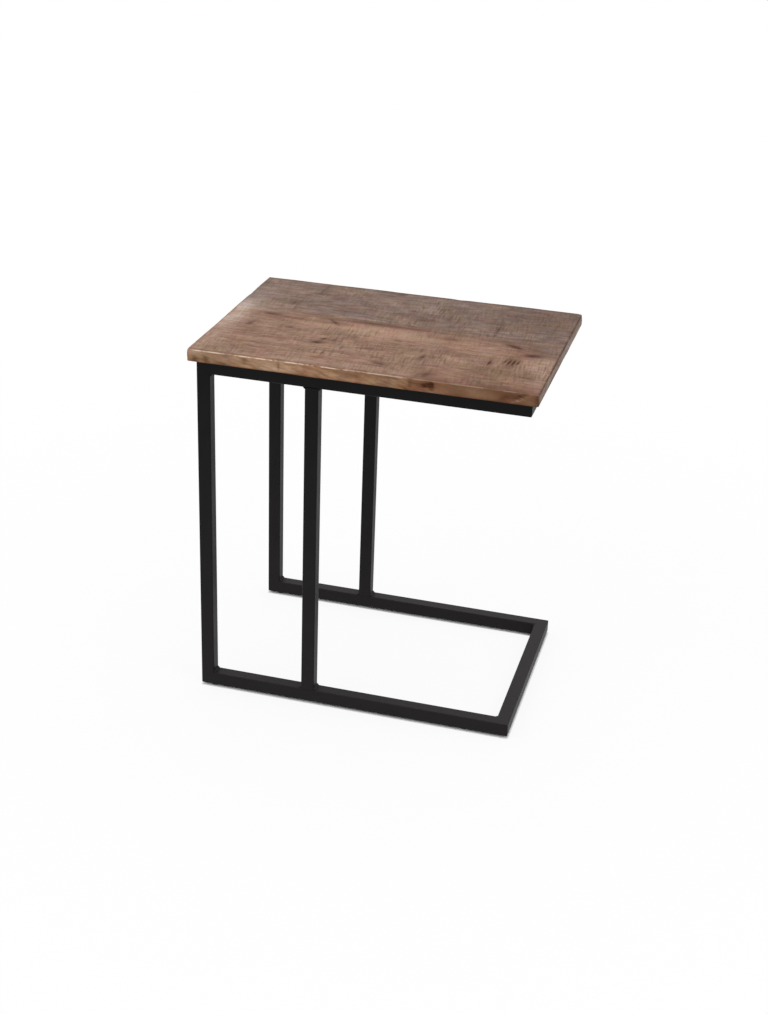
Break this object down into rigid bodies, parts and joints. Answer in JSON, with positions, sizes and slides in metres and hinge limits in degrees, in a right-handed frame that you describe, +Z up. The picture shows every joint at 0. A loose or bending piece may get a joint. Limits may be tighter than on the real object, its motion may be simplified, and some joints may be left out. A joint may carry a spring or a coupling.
{
  "type": "c shaped side table",
  "caption": "C shaped side table: a solid wood top on a welded square tube frame whose floor rails slide under a sofa.",
  "frame": {"origin": "on the floor, under the middle of the table top", "axes": "+X along the rails towards the open end of the C, +Y to the back, +Z up"},
  "size_m": [0.5, 0.35, 0.55],
  "materials": {
    "black_powder_coat": "satin powder coat",
    "waxed_mango_wood": "rough sawn, stained and waxed",
    "black_plastic": "moulded",
    "zinc_plated_steel": "zinc plated"
  },
  "bodies": {
    "root": {"fixing_tab_front_left": "black_powder_coat", "fixing_tab_front_right": "black_powder_coat", "fixing_tab_rear_left": "black_powder_coat", "fixing_tab_rear_right": "black_powder_coat", "glide_front_left": "black_plastic", "glide_front_right": "black_plastic", "glide_rear_left": "black_plastic", "glide_rear_right": "black_plastic", "leg_front_left": "black_powder_coat", "leg_front_middle": "black_powder_coat", "leg_rear_left": "black_powder_coat", "leg_rear_middle": "black_powder_coat", "lower_cross_bar": "black_powder_coat", "lower_rail_front": "black_powder_coat", "lower_rail_rear": "black_powder_coat", "top_board_front": "waxed_mango_wood", "top_board_middle": "waxed_mango_wood", "top_board_rear": "waxed_mango_wood", "upper_cross_bar_left": "black_powder_coat", "upper_cross_bar_right": "black_powder_coat", "upper_rail_front": "black_powder_coat", "upper_rail_rear": "black_powder_coat", "weld_beads_cross_bars": "black_powder_coat", "weld_beads_front_frame": "black_powder_coat", "weld_beads_rear_frame": "black_powder_coat", "weld_beads_tabs": "black_powder_coat", "wood_screws": "zinc_plated_steel"}
  },
  "joints": []
}
